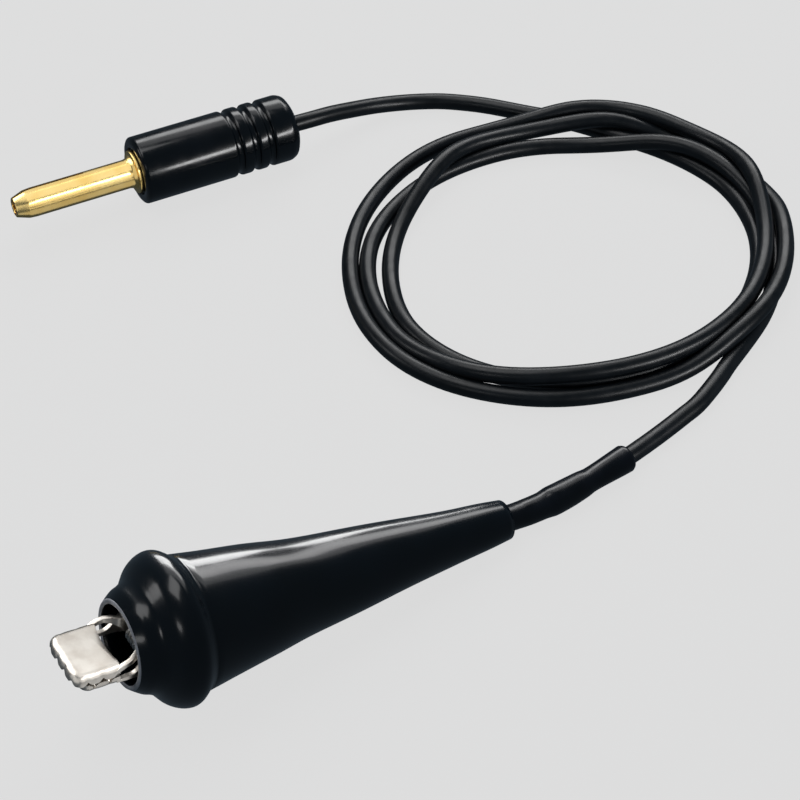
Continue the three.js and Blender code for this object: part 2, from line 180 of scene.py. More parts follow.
def resampled(points, spacing):
    """Points a set distance apart along a line of points."""
    steps = np.linalg.norm(np.diff(points, axis=0), axis=1)
    along = np.concatenate([[0], np.cumsum(steps)])
    wanted = np.linspace(0, along[-1], int(round(along[-1] / spacing)) + 1)
    return np.stack([np.interp(wanted, along, points[:, i]) for i in range(3)], 1)


def smooth_curve(knots, spacing):
    """Evenly spaced points on a centripetal Catmull-Rom curve through the knots."""
    k = np.array(knots, float)
    k = np.vstack([2 * k[0] - k[1], k, 2 * k[-1] - k[-2]])
    out = []
    for p0, p1, p2, p3 in zip(k, k[1:], k[2:], k[3:]):
        t0 = 0.0
        t1 = t0 + np.linalg.norm(p1 - p0) ** 0.5
        t2 = t1 + np.linalg.norm(p2 - p1) ** 0.5
        t3 = t2 + np.linalg.norm(p3 - p2) ** 0.5
        t = np.linspace(t1, t2, 24, endpoint=False)[:, None]
        a1 = (t1 - t) / (t1 - t0) * p0 + (t - t0) / (t1 - t0) * p1
        a2 = (t2 - t) / (t2 - t1) * p1 + (t - t1) / (t2 - t1) * p2
        a3 = (t3 - t) / (t3 - t2) * p2 + (t - t2) / (t3 - t2) * p3
        b1 = (t2 - t) / (t2 - t0) * a1 + (t - t0) / (t2 - t0) * a2
        b2 = (t3 - t) / (t3 - t1) * a2 + (t - t1) / (t3 - t1) * a3
        out.append((t2 - t) / (t2 - t1) * b1 + (t - t1) / (t2 - t1) * b2)
    out.append(k[-2:-1])
    return resampled(np.vstack(out), spacing)


def coil_points():
    """The turns, from the clip's side to the plug's, with the table's corners smoothed out."""
    angle, radius, height = np.array(TURNS, float).T
    fine = np.arange(angle[0], angle[-1] + 0.5, 1.0)
    reach, spread, every = 30, 6.0, 6      # degrees
    window = np.exp(-0.5 * (np.arange(-reach, reach + 1) / spread) ** 2)
    window /= window.sum()

    def softened(values):
        """The table's values at every degree, smoothed, with the ends held."""
        v = np.interp(fine, angle, values)
        v = np.concatenate([np.full(reach, v[0]), v, np.full(reach, v[-1])])
        return np.convolve(v, window, "valid")

    r, z, a = softened(radius), softened(height), np.radians(fine)
    x = COIL_CENTRE[0] + r * np.cos(a)
    y = COIL_CENTRE[1] - r * np.sin(a)
    return np.stack([x, y, z], 1)[::-every]


def beam_filter(count, stiffness):
    """A matrix that smooths a line of points the way a bent rod evens out its bends."""
    bend = np.diff(np.eye(count), 2, axis=0)
    return np.linalg.inv(np.eye(count) + stiffness * bend.T @ bend)


def settled(points, first, last, rounds=160):
    """Lets the turns between two points of the lead lie on the surface and on each other."""
    x = points.copy()
    home = points[first:last, :2].copy()
    free = slice(first, last)
    even = beam_filter(last - first, 3.0)
    near, far = np.triu_indices(len(x), 8)
    thick = 2 * LEAD_R
    fall, share, most, keep = 0.01, 0.3, 0.15, 0.85    # of each round's moves
    for _ in range(rounds):
        x[free, 2] -= fall
        apart = x[far] - x[near]
        close = (np.abs(apart) < thick).all(1)
        i, j, apart = near[close], far[close], apart[close]
        gap = np.linalg.norm(apart, axis=1)
        push = apart / gap[:, None] * (np.maximum(thick - gap, 0) * share)[:, None]
        moved = np.zeros_like(x)
        np.add.at(moved, j, push)
        np.add.at(moved, i, -push)
        x[free] += np.clip(moved[free], -most, most)
        x[free, :2] = home + keep * (even @ (x[free, :2] - home))
        x[free, 2] = np.maximum(even @ x[free, 2], LEAD_R)
    return x


def lead_path():
    """Points along the whole lead: from the clip's crimp, round the coil, into the plug."""
    inside_boot = [
        from_clip(27.2, 0, -0.75), from_clip(30, 0, -0.55), from_clip(34, 0, -0.2),
        from_clip(38, 0, 0), from_clip(43, 0, 0), from_clip(47, 0, 0), from_clip(50, 0, 0),
    ]
    inside_handle = [
        from_plug(23.2, 0, 0), from_plug(19, 0, 0), from_plug(15, 0, 0), from_plug(10.2, 0, 0),
    ]
    coil = [tuple(p) for p in coil_points()[1:-1]]
    knots = inside_boot + TAIL_ROUTE + coil + PLUG_ROUTE[::-1] + inside_handle
    points = smooth_curve(knots, SPACING)
    tail_end = np.linalg.norm(points - np.array(TAIL_ROUTE[-2]), axis=1).argmin()
    plug_start = np.linalg.norm(points - np.array(PLUG_ROUTE[-2]), axis=1).argmin()
    return settled(points, tail_end, plug_start)


path = lead_path()
path_at = np.concatenate([[0], np.cumsum(np.linalg.norm(np.diff(path, axis=0), axis=1))])


# ---------------------------------------------------------------- materials
def linear(red, green, blue):
    """An sRGB colour, 0 to 255, as linear values with alpha."""
    srgb = [channel / 255 for channel in (red, green, blue)]
    return [c / 12.92 if c <= 0.04045 else ((c + 0.055) / 1.055) ** 2.4 for c in srgb] + [1]


def noise(tree, feature, detail=3.0):
    """A noise texture in object space whose features are about this many millimetres across."""
    place = tree.nodes.new("ShaderNodeTexCoord")
    texture = tree.nodes.new("ShaderNodeTexNoise")
    texture.inputs["Scale"].default_value = 1 / (feature * MM)
    texture.inputs["Detail"].default_value = detail
    tree.links.new(place.outputs["Object"], texture.inputs["Vector"])
    return texture.outputs["Fac"]


def ranged(tree, value, low, high):
    """Maps a noise value's usual spread to the range from low to high."""
    node = tree.nodes.new("ShaderNodeMapRange")
    node.inputs["From Min"].default_value = 0.3
    node.inputs["From Max"].default_value = 0.7
    node.inputs["To Min"].default_value = low
    node.inputs["To Max"].default_value = high
    tree.links.new(value, node.inputs["Value"])
    return node.outputs["Result"]


def finish_material(name, dark, light, patch, rough, rough_patch, bumps, metallic=0.0, coat=0.0):
    """A surface whose colour and roughness drift in patches, with layers of fine relief.

    dark and light are sRGB colours; bumps is a list of (feature in mm, height in mm).
    """
    material = bpy.data.materials.new(name)
    material.use_nodes = True
    tree = material.node_tree
    shader = tree.nodes["Principled BSDF"]
    ramp = tree.nodes.new("ShaderNodeValToRGB")
    ramp.color_ramp.elements[0].position = 0.35
    ramp.color_ramp.elements[0].color = linear(*dark)
    ramp.color_ramp.elements[1].position = 0.65
    ramp.color_ramp.elements[1].color = linear(*light)
    tree.links.new(noise(tree, patch), ramp.inputs["Fac"])
    tree.links.new(ramp.outputs["Color"], shader.inputs["Base Color"])
    roughness = ranged(tree, noise(tree, rough_patch), *rough)
    tree.links.new(roughness, shader.inputs["Roughness"])
    normal = None
    for feature, height in bumps:
        bump = tree.nodes.new("ShaderNodeBump")
        bump.inputs["Distance"].default_value = height * MM
        tree.links.new(noise(tree, feature, detail=1.0), bump.inputs["Height"])
        if normal is not None:
            tree.links.new(normal, bump.inputs["Normal"])
        normal = bump.outputs["Normal"]
    tree.links.new(normal, shader.inputs["Normal"])
    shader.inputs["Metallic"].default_value = metallic
    shader.inputs["Coat Weight"].default_value = coat
    shader.inputs["Coat Roughness"].default_value = 0.08
    return material


VINYL = finish_material(
    "glossy_vinyl", (3, 10, 16), (7, 17, 25), 9, (0.17, 0.25), 5,
    [(16, 0.05), (3.5, 0.008), (0.5, 0.0004)], coat=0.3,
)
SHRINK = finish_material(
    "heat_shrink", (6, 11, 18), (14, 20, 30), 4, (0.2, 0.32), 2,
    [(3.5, 0.12), (0.6, 0.003)], coat=0.2,
)
JACKET = finish_material(
    "pvc_jacket", (8, 13, 17), (17, 22, 27), 6, (0.3, 0.4), 1.5,
    [(3, 0.03), (0.35, 0.001)],
)
HANDLE = finish_material(
    "handle_plastic", (3, 8, 13), (8, 14, 20), 5, (0.16, 0.24), 2,
    [(6, 0.012), (0.4, 0.0003)], coat=0.2,
)
# Pale grey painted on the boot's lip as the rim's highlight.
PAINTED_LIP_HIGHLIGHT = finish_material(
    "painted_lip_highlight", (165, 166, 172), (196, 197, 202), 1.2, (0.4, 0.5), 0.8,
    [(0.4, 0.002)],
)
NICKEL = finish_material(
    "nickel_plate", (206, 198, 188), (224, 218, 209), 1.6, (0.3, 0.4), 0.8,
    [(1.5, 0.012), (0.2, 0.002)], metallic=1.0,
)
SPRING_STEEL = finish_material(
    "spring_wire", (150, 150, 148), (200, 200, 196), 1.2, (0.22, 0.36), 0.6,
    [(0.3, 0.004)], metallic=1.0,
)
GOLD = finish_material(
    "gold_plate", (238, 200, 118), (247, 216, 142), 3, (0.2, 0.26), 1.2,
    [(2.5, 0.0006)], metallic=1.0,
)
COPPER = finish_material(
    "stranded_copper", (176, 102, 62), (214, 142, 98), 0.6, (0.3, 0.45), 0.5,
    [(0.25, 0.03)], metallic=1.0,
)
TIN = finish_material(
    "solder", (150, 152, 154), (196, 198, 200), 0.8, (0.22, 0.42), 0.6,
    [(0.7, 0.06)], metallic=1.0,
)


# ---------------------------------------------------------------- mesh building
def linked(name, mesh, material, body):
    """Makes a mesh a visible, smooth-shaded piece that rides on a body."""
    piece = bpy.data.objects.new(name, mesh)
    bpy.context.scene.collection.objects.link(piece)
    mesh.materials.append(material)
    mesh.shade_smooth()
    if body:
        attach(piece, body)
    return piece


def cleaned(name, points, faces):
    """A mesh with doubled points merged and its normals turned outwards."""
    mesh = bpy.data.meshes.new(name)
    mesh.from_pydata([tuple(p) for p in points], [], faces)
    work = bmesh.new()
    work.from_mesh(mesh)
    bmesh.ops.remove_doubles(work, verts=work.verts, dist=1e-6)
    bmesh.ops.recalc_face_normals(work, faces=work.faces)
    work.to_mesh(mesh)
    work.free()
    return mesh


def ring_mesh(name, rings, frame, wrap=False):
    """Joins closed rings of points, in millimetres in a frame, into a tube. With wrap, the
    last ring joins the first; otherwise each end is closed with a flat cap."""
    size = len(rings[0])
    points = [(frame @ Vector(p)) * MM for ring in rings for p in ring]
    faces = []
    for i in range(len(rings) if wrap else len(rings) - 1):
        here = i * size
        after = (i + 1) % len(rings) * size
        for j in range(size):
            k = (j + 1) % size
            faces.append((here + j, here + k, after + k, after + j))
    if not wrap:
        last = (len(rings) - 1) * size
        faces += [tuple(range(size)), tuple(range(last, last + size))]
    return cleaned(name, points, faces)


def filleted(profile, radius, steps=4):
    """A closed profile with its corners rounded, as far as its short edges leave room."""
    out = []
    count = len(profile)
    for i, corner in enumerate(profile):
        here = np.array(corner, float)
        for neighbour in (profile[i - 1], profile[(i + 1) % count]):
            span = np.array(neighbour, float) - here
            reach = min(radius, 0.42 * np.linalg.norm(span))
            out.append(here + span / np.linalg.norm(span) * reach)
        start, end = out[-2:]
        del out[-2:]
        for t in np.linspace(0, 1, steps + 1):
            out.append((1 - t) ** 2 * start + 2 * t * (1 - t) * here + t ** 2 * end)
    return out


def turned(name, profile, frame, segments=96, shift=None):
    """A solid turned about x from a closed profile of (x, radius) points. shift, if given,
    moves each point's radius by an amount that depends on x and on the angle."""
    rings = []
    for x, radius in profile:
        ring = []
        for k in range(segments):
            angle = 2 * math.pi * k / segments
            r = radius + (shift(x, angle) if shift else 0)
            ring.append((x, r * math.cos(angle), r * math.sin(angle)))
        rings.append(ring)
    return ring_mesh(name, rings, frame, wrap=True)


def rings_along(points, radii, sides):
    """Rings of points round a line, turned from one to the next without twisting."""
    points = np.array(points, float)
    ahead = np.gradient(points, axis=0)
    ahead /= np.linalg.norm(ahead, axis=1)[:, None]
    side = np.cross(ahead[0], (0.31, 0.2, 0.93))
    rings = []
    for centre, forward, radius in zip(points, ahead, radii):
        side = side - forward * side.dot(forward)
        side /= np.linalg.norm(side)
        up = np.cross(forward, side)
        angles = np.linspace(0, 2 * math.pi, sides, endpoint=False)[:, None]
        rings.append(centre + radius * (np.cos(angles) * side + np.sin(angles) * up))
    return rings


WORLD = Matrix.Identity(4)


# ---------------------------------------------------------------- the lead
def make_lead():
    """The whole lead as one round curve along its centre line."""
    curve = bpy.data.curves.new("lead", "CURVE")
    curve.dimensions = "3D"
    curve.bevel_depth = LEAD_R * MM
    curve.bevel_resolution = 6
    curve.use_fill_caps = True
    spline = curve.splines.new("POLY")
    spline.points.add(len(path) - 1)
    for point, place in zip(spline.points, path):
        point.co = (*(place * MM), 1)
    spline.use_smooth = True
    piece = bpy.data.objects.new("lead", curve)
    bpy.context.scene.collection.objects.link(piece)
    curve.materials.append(JACKET)
    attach(piece, CLIP_BODY)
    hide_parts("lead_clip_run", "lead_coil", "lead_plug_run")
    return piece


lead = make_lead()

# ---------------------------------------------------------------- sleeves on the lead
TAIL_AT = path_at[np.linalg.norm(path - np.array(from_clip(50, 0, 0)), axis=1).argmin()]


def along_lead(start, end, step=0.25):
    """Places along the lead's centre line, measured from the boot's tail."""
    at = np.arange(start, end + step / 2, step)
    places = [np.interp(at + TAIL_AT, path_at, path[:, axis]) for axis in range(3)]
    return at, np.stack(places, 1)


def sleeve(name, outside, bore, rim, sides=48):
    """A shrunk tube on the lead, from a table of distance and radius. Its ends are drawn in by
    rim, and the table's corners are smoothed out."""
    outside = np.array(outside, float)
    at, places = along_lead(outside[0, 0], outside[-1, 0])
    radii = np.interp(at, *outside.T)
    spread = np.exp(-0.5 * (np.arange(-6, 7) / 1.6) ** 2)
    radii = np.convolve(np.pad(radii, 6, "edge"), spread / spread.sum(), "valid")
    radii[0] -= rim
    radii[-1] -= rim
    outer = rings_along(places, radii, sides)
    inner = rings_along(places, np.full(len(at), bore), sides)
    return ring_mesh(name, outer + inner[::-1], WORLD, wrap=True)


# Distance from the boot's tail, and radius.
OUTER_SLEEVE = [
    (-8.5, 1.62), (-0.5, 1.62), (1.0, 1.58), (3.2, 1.64), (5.6, 1.66), (6.3, 1.86),
    (9.0, 1.8), (11.6, 1.66), (12.3, 1.5), (14.2, 1.56), (16.8, 1.7), (18.4, 1.78),
]
INNER_SLEEVE = [(-8.5, 1.34), (12.6, 1.34)]


def make_sleeves():
    """Two shrunk tubes where the lead leaves the boot, one inside the other."""
    outer_mesh = sleeve("outer_sleeve_shrunk", OUTER_SLEEVE, 1.4, 0.12)
    outer = linked("outer_sleeve_shrunk", outer_mesh, SHRINK, CLIP_BODY)
    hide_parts("outer_sleeve")
    inner_mesh = sleeve("inner_sleeve_shrunk", INNER_SLEEVE, 1.18, 0.03)
    inner = linked("inner_sleeve_shrunk", inner_mesh, SHRINK, CLIP_BODY)
    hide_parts("inner_sleeve")
    return [outer, inner]


sleeves = make_sleeves()


# ---------------------------------------------------------------- boot
BOOT_OUTSIDE = [
    (0.0, 5.05), (0.6, 5.5), (1.3, 5.95), (2.0, 6.2), (2.7, 6.6), (3.3, 7.3), (3.9, 8.0),
    (4.6, 8.5), (5.3, 8.8), (6.0, 8.9), (6.6, 8.75), (7.2, 8.35), (7.7, 7.95), (7.95, 7.8),
    (8.12, 7.74), (8.3, 7.78), (9.6, 7.57), (11, 7.34), (13, 7.05), (17, 6.5), (22, 5.65),
    (29, 4.78), (36, 3.93), (43, 3.16), (47, 2.78), (49.85, 2.42),
]
BOOT_INSIDE = [
    (49.9, 1.95), (43.5, 1.84), (38, 2.75), (29, 3.9), (22, 4.75), (17, 5.6), (13, 6.2),
    (9.6, 6.75), (7.8, 7.2), (5.9, 7.95), (4.4, 7.6), (3.1, 6.3), (1.9, 5.5), (0.8, 4.85),
    (0.1, 4.6),
]
# How far into the mouth the painted lip highlight reaches.
LIP_DEPTH = 0.09


def finer(profile, spacing):
    """A smooth profile through the given points, with points a set distance apart."""
    knots = [(x, r, 0) for x, r in profile]
    return [tuple(p[:2]) for p in smooth_curve(knots, spacing)]


def boot_shift(x, angle):
    """The slow unevenness of a dipped vinyl boot, and the thumb's dent on its upper side."""
    fade = min(1, max(0, (x - 9) / 6)) * min(1, max(0, (50 - x) / 8))
    waves = 0.03 * math.sin(3 * angle + 0.35 * x) + 0.04 * math.sin(2 * angle - 0.22 * x + 1)
    across = math.cos(angle - math.radians(100))
    dent = 0.12 * math.exp(-((x - 24) / 4.5) ** 2) * max(0, across) ** 6
    return fade * (waves - dent)


def make_boot():
    """The flared vinyl boot, hollow, with a paler ring round its mouth painted on as the lip's
    highlight.
    """
    outside = finer(BOOT_OUTSIDE[:14], 0.22)[:-1] + finer(BOOT_OUTSIDE[13:16], 0.1)[:-1]
    outside += finer(BOOT_OUTSIDE[15:], 0.7)
    inside = finer(BOOT_INSIDE, 0.8)
    mesh = turned("boot_shell", outside + inside, CLIP_FRAME, 128, boot_shift)
    boot = linked("boot_shell", mesh, VINYL, CLIP_BODY)
    # The faces round the mouth get the pale material, a painted highlight on the lip.
    mesh.materials.append(PAINTED_LIP_HIGHLIGHT)
    to_clip = CLIP_FRAME.inverted()
    for face in mesh.polygons:
        if (to_clip @ (face.center / MM)).x < LIP_DEPTH:
            face.material_index = 1
    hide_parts("insulating_boot")
    return boot


make_boot()

# ---------------------------------------------------------------- jaws
SHEET = 0.5
UPPER_FRONT, LOWER_FRONT = -6.85, -6.05
NOSE_REAR = -1.5
NOSE_TOP, NOSE_BOTTOM = 1.0, -1.85
NOSE_HALF_WIDTH = 3.75
NOSE_CORNER = 1.35                 # corner radius in plan
NOSE_FOLD = 0.95                   # fold radius of the top and bottom edges
LUG_HALF = 2.65
BITE_Z, BITE_GAP = -0.5, 0.06
TOOTH_PITCH, TOOTH_DEPTH = 1.75, 0.5
PRESS_MARK = 0.09                  # how far the folds are dented above each notch
PIVOT = (3.0, 0, -0.4)
MID = SHEET / 2                    # from a sheet's outside to its middle


def nose_outline(front_edge, inset):
    """Plan of the nose inside its outside by inset: rear, round the front, back to the rear."""
    half = NOSE_HALF_WIDTH - inset
    front = front_edge + inset
    corner = max(NOSE_CORNER - inset, 0.12)
    side = [(x, half) for x in np.linspace(NOSE_REAR, front + corner, 34)[:-1]]
    for angle in np.linspace(0, math.pi / 2, 13):
        x = front + corner - corner * math.sin(angle)
        side.append((x, half - corner + corner * math.cos(angle)))
    side += [(front, y) for y in np.linspace(half - corner, 0, 17)[1:]]
    return side + [(x, -y) for x, y in reversed(side[:-1])]


def tooth_notch(distance):
    """How far a notch cuts in, from 0 to 1, at a distance along the edge from its middle."""
    from_notch = abs(abs(distance) / TOOTH_PITCH % 1 - 0.5) * TOOTH_PITCH
    return max(0.0, 1 - from_notch / 0.5)


def add_grid(points, faces, rows):
    """Adds a grid of points, given in rows, as a sheet."""
    size = len(rows[0])
    first = len(points)
    for row in rows:
        points.extend(row)
    for i in range(len(rows) - 1):
        for j in range(size - 1):
            here = first + i * size + j
            faces.append((here, here + 1, here + size + 1, here + size))
    return first


def fold_row(side, top, front, angle, along):
    """A row of points round the nose at one angle of its fold, dented above each notch."""
    fold = NOSE_FOLD - MID
    z = top - side * fold * (1 - math.cos(angle))
    inset = MID + fold * (1 - math.sin(angle))
    step = 0.1
    outline = np.array(nose_outline(front, inset))
    inside = np.array(nose_outline(front, inset + step))
    row = []
    for here, inward, distance in zip(outline, inside, along):
        press = PRESS_MARK * tooth_notch(distance) * math.sin(angle) ** 2
        x, y = here + (inward - here) * press / step
        row.append((x, y, z))
    return row


def add_nose(points, faces, side, outer_z, front):
    """One half of the nose: plate, rounded fold and toothed skirt. side is 1 for the upper."""
    outline = np.array(nose_outline(front, MID))
    steps = np.linalg.norm(np.diff(outline, axis=0), axis=1)
    along = np.concatenate([[0], np.cumsum(steps)])
    along -= along[-1] / 2
    top = outer_z - side * MID
    rows = [fold_row(side, top, front, angle, along) for angle in np.linspace(0, math.pi / 2, 8)]
    skirt = rows[-1]
    for share in (0.35, 0.7, 1.0):
        row = []
        for (x, y, z), distance in zip(skirt, along):
            edge = BITE_Z + side * (BITE_GAP + TOOTH_DEPTH * tooth_notch(distance))
            row.append((x, y, z + share * (edge - z)))
        rows.append(row)
    first = add_grid(points, faces, rows)
    rear = len(points)
    half = NOSE_HALF_WIDTH - NOSE_FOLD
    for y in np.linspace(-half, half, 9)[1:-1]:
        points.append((NOSE_REAR - 0.35 * (1 - (y / half) ** 2), y, top))
    faces.append(tuple(range(first, first + len(rows[0]))) + tuple(range(rear, len(points))))


def add_wall(points, faces, columns, side):
    """An upright wall of sheet. columns are (x, y, low z, high z), mirrored to side."""
    rows = []
    for share in np.linspace(0, 1, 5):
        rows.append([(x, side * y, low + share * (high - low)) for x, y, low, high in columns])
    add_grid(points, faces, rows)


def add_strip(points, faces, line):
    """A bent strip of sheet across y, from (x, z, half width) points."""
    rows = []
    for share in np.linspace(-1, 1, 9):
        rows.append([(x, share * half, z) for x, z, half in line])
    add_grid(points, faces, rows)


def eased(columns, count=4):
    """The same table with extra rows between, on a smooth line through them."""
    table = np.array(columns, float)
    knots = np.arange(len(table))
    fine = np.linspace(0, len(table) - 1, (len(table) - 1) * count + 1)
    plain = np.stack([np.interp(fine, knots, c) for c in table.T], 1)
    middle = (plain[:-2] + 2 * plain[1:-1] + plain[2:]) / 4
    return [tuple(row) for row in np.vstack([plain[:1], middle, plain[-1:]])]


def pressed_sheet(name, points, faces, body, replaced):
    """Turns open sheets into bent metal of the sheet's thickness with eased edges."""
    placed = [(CLIP_FRAME @ Vector(p)) * MM for p in points]
    piece = linked(name, cleaned(name, placed, faces), NICKEL, body)
    thick = piece.modifiers.new("sheet", "SOLIDIFY")
    thick.thickness = SHEET * MM
    thick.offset = 0
    thick.use_quality_normals = True
    ease = piece.modifiers.new("edges", "BEVEL")
    ease.width = 0.07 * MM
    ease.segments = 2
    ease.limit_method = "ANGLE"
    ease.angle_limit = math.radians(50)
    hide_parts(replaced)
    return piece


def make_upper_jaw():
    """The moving jaw: nose, arms that step in to the ears, and the lever under the boot."""
    points, faces = [], []
    add_nose(points, faces, 1, NOSE_TOP, UPPER_FRONT)
    # columns of the arm and ear: x, y, low z, high z
    half, lug = NOSE_HALF_WIDTH - MID, LUG_HALF - MID
    ear = eased([
        (-2.2, half, -0.2, 0.25), (-1.6, half, 0.1, 0.7), (-0.9, half, 0.45, 1.0),
        (-0.2, half - 0.1, 0.6, 1.2), (0.5, half - 0.5, 0.6, 1.4), (1.3, lug, 0.3, 1.6),
        (2.2, lug, -1.4, 1.8),
        (3.8, lug, -1.4, 1.9), (4.6, lug, -0.4, 2.2), (5.8, lug, 1.3, 2.6),
    ])
    for side in (1, -1):
        add_wall(points, faces, ear, side)
    add_strip(points, faces, eased([
        (5.3, 2.3, 2.4), (6.2, 2.6, 2.3), (8, 3.25, 1.95), (11.2, 4.3, 1.9), (12.2, 4.45, 1.9),
        (15.6, 4.45, 1.9), (16.2, 4.45, 1.6), (16.4, 4.45, 1.2),
    ]))
    return pressed_sheet("upper_jaw_pressing", points, faces, JAW_BODY, "upper_jaw")


def make_lower_jaw():
    """The fixed jaw: nose, arms, ears outside the upper jaw's, floor, and crimp lugs."""
    points, faces = [], []
    add_nose(points, faces, -1, NOSE_BOTTOM, LOWER_FRONT)
    half = NOSE_HALF_WIDTH - MID
    ear = eased([
        (-1.9, half, -1.4, -0.95), (-1.2, half, -1.45, -1.0), (0.2, half, -1.5, -0.9),
        (1.1, half, -1.6, 0.1), (1.8, half, -1.7, 0.9), (4.2, half, -2.4, 0.9),
        (5.0, half, -2.7, -0.4), (5.8, half, -3.0, -1.5), (8.4, half, -3.55, -2.7),
    ])
    lug = [(21.2, 1.25, -1.8, -0.9), (21.6, 1.25, -1.8, -0.1), (24.5, 1.25, -1.8, -0.1),
           (24.9, 1.25, -1.8, -0.9)]
    for side in (1, -1):
        add_wall(points, faces, ear, side)
        add_wall(points, faces, lug, side)
    add_strip(points, faces, eased([
        (2.6, -2.1, 3.2), (5.6, -3.05, 3.2), (8.3, -3.65, 3.2), (8.8, -3.7, 2.1),
        (16.2, -4.3, 2.0), (17.2, -4.1, 2.0), (20.0, -2.0, 2.0), (21.0, -1.85, 2.0),
        (26.6, -1.7, 2.0), (27.0, -1.7, 1.6),
    ]))
    return pressed_sheet("lower_jaw_pressing", points, faces, CLIP_BODY, "lower_jaw")


make_upper_jaw()
make_lower_jaw()


# ---------------------------------------------------------------- rivet and spring
def make_rivet():
    """A shouldered rivet along y with domed heads outside the lower jaw's ears."""
    end = NOSE_HALF_WIDTH + 0.05
    half = [(end, 0.6), (end, 1.15), (end + 0.15, 1.12), (end + 0.32, 0.9), (end + 0.45, 0.5),
            (end + 0.5, 0.0)]
    profile = [(-x, r) for x, r in reversed(half)] + half
    frame = CLIP_FRAME @ Matrix.Translation(PIVOT) @ Matrix.Rotation(math.pi / 2, 4, "Z")
    mesh = turned("rivet", profile, frame, 48)
    rivet = linked("rivet", mesh, NICKEL, CLIP_BODY)
    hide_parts("pivot_rivet")


def make_spring():
    """A torsion spring round the rivet, with one leg up towards the upper jaw and one down towards
    the lower.
    """
    coil_r, half_length, turns, per_turn = 1.3, 1.5, 5.5, 24
    wire_r = 0.22
    line = [(9.6, -half_length, 2.75), (8.0, -half_length, 2.3), (6.0, -half_length, 1.6)]
    count = int(turns * per_turn)
    for i in range(count + 1):
        angle = math.pi / 2 + 0.3 + 2 * math.pi * i / per_turn
        y = -half_length + 2 * half_length * i / count
        line.append((
            PIVOT[0] + coil_r * math.cos(angle), y, PIVOT[2] + coil_r * math.sin(angle),
        ))
    line += [(6.0, half_length, -2.2), (7.7, half_length, -2.55), (9.4, half_length, -2.85)]
    line = smooth_curve(line, 0.16)
    mesh = ring_mesh("spring", rings_along(line, [wire_r] * len(line), 12), CLIP_FRAME)
    spring = linked("spring", mesh, SPRING_STEEL, None)
    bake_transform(spring)
    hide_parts("jaw_spring")


make_rivet()
make_spring()


# ---------------------------------------------------------------- plug
HANDLE_R, HANDLE_LENGTH = 4.7, 23.2
GROOVES_AT = (14.0, 16.4, 18.7)
GROOVE_R = HANDLE_R - 0.45


def make_handle():
    """A moulded handle with rounded ends and three grooves near its rear."""
    outside = [(0, 3.3), (0, 4.15), (0.35, HANDLE_R)]
    for x in GROOVES_AT:
        outside += [
            (x - 0.5, HANDLE_R), (x - 0.36, GROOVE_R), (x + 0.36, GROOVE_R), (x + 0.5, HANDLE_R),
        ]
    outside += [(21.9, HANDLE_R), (22.7, 4.35), (HANDLE_LENGTH, 3.4), (HANDLE_LENGTH, 1.5)]
    inside = [(13.5, 1.5), (12.5, 2.98), (0.5, 2.98), (0.5, 3.3)]
    mesh = turned("plug_grip", filleted(outside + inside, 0.28), PLUG_FRAME)
    grip = linked("plug_grip", mesh, HANDLE, CLIP_BODY)
    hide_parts("plug_handle")
    return grip


PIN_R, PIN_TIP = 2.0, -17.5
SLIT_HALF, SLIT_END = 0.16, -7.2
SLIT_ROLL = math.radians(75)


def split_tip(pin):
    """Cuts the slit that lets the tip give, and applies the cut."""
    corners = []
    for x in (PIN_TIP - 1.5, SLIT_END):
        corners.append([
            (x, -3, -SLIT_HALF), (x, 3, -SLIT_HALF), (x, 3, SLIT_HALF), (x, -3, SLIT_HALF),
        ])
    blade_mesh = ring_mesh("blade", corners, PLUG_FRAME @ Matrix.Rotation(SLIT_ROLL, 4, "X"))
    blade = bpy.data.objects.new("blade", blade_mesh)
    bpy.context.scene.collection.objects.link(blade)
    cut = pin.modifiers.new("slit", "BOOLEAN")
    cut.operation = "DIFFERENCE"
    cut.solver = "EXACT"
    cut.object = blade
    bpy.context.view_layer.update()
    shaped = pin.evaluated_get(bpy.context.evaluated_depsgraph_get())
    split = bpy.data.meshes.new_from_object(shaped)
    pin.modifiers.remove(cut)
    pin.data = split
    bpy.data.objects.remove(blade)
    split.set_sharp_from_angle(angle=math.radians(40))


def make_pin():
    """A hollow gold pin split at its tip, with a flange, and a solder cup in the handle."""
    profile = filleted([
        (PIN_TIP, 0.85), (PIN_TIP, 1.35), (-15.8, 1.92), (-14.8, PIN_R), (-1.3, PIN_R),
        (-0.85, 2.12), (-0.45, 2.45), (-0.45, 3.0), (0.1, 3.0), (0.1, 2.6), (9, 2.6),
        (9, 1.25), (4.5, 1.25), (3.9, 0.3), (-3, 0.3), (-3.6, 1.25), (-14.5, 1.25),
    ], 0.13)
    pin = linked("gold_pin", turned("gold_pin", profile, PLUG_FRAME), GOLD, None)
    split_tip(pin)
    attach(pin, CLIP_BODY)
    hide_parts("plug_pin")
    return pin


plug_pieces = [make_handle(), make_pin()]


# ---------------------------------------------------------------- wire joints
STRAND_R, STRAND_LAY = 0.165, 0.33   # a strand's radius, and the outer six from the middle
STRAND_TWIST = 1.1                   # radians per millimetre
STRAND_STEPS, STRAND_SIDES = 40, 10


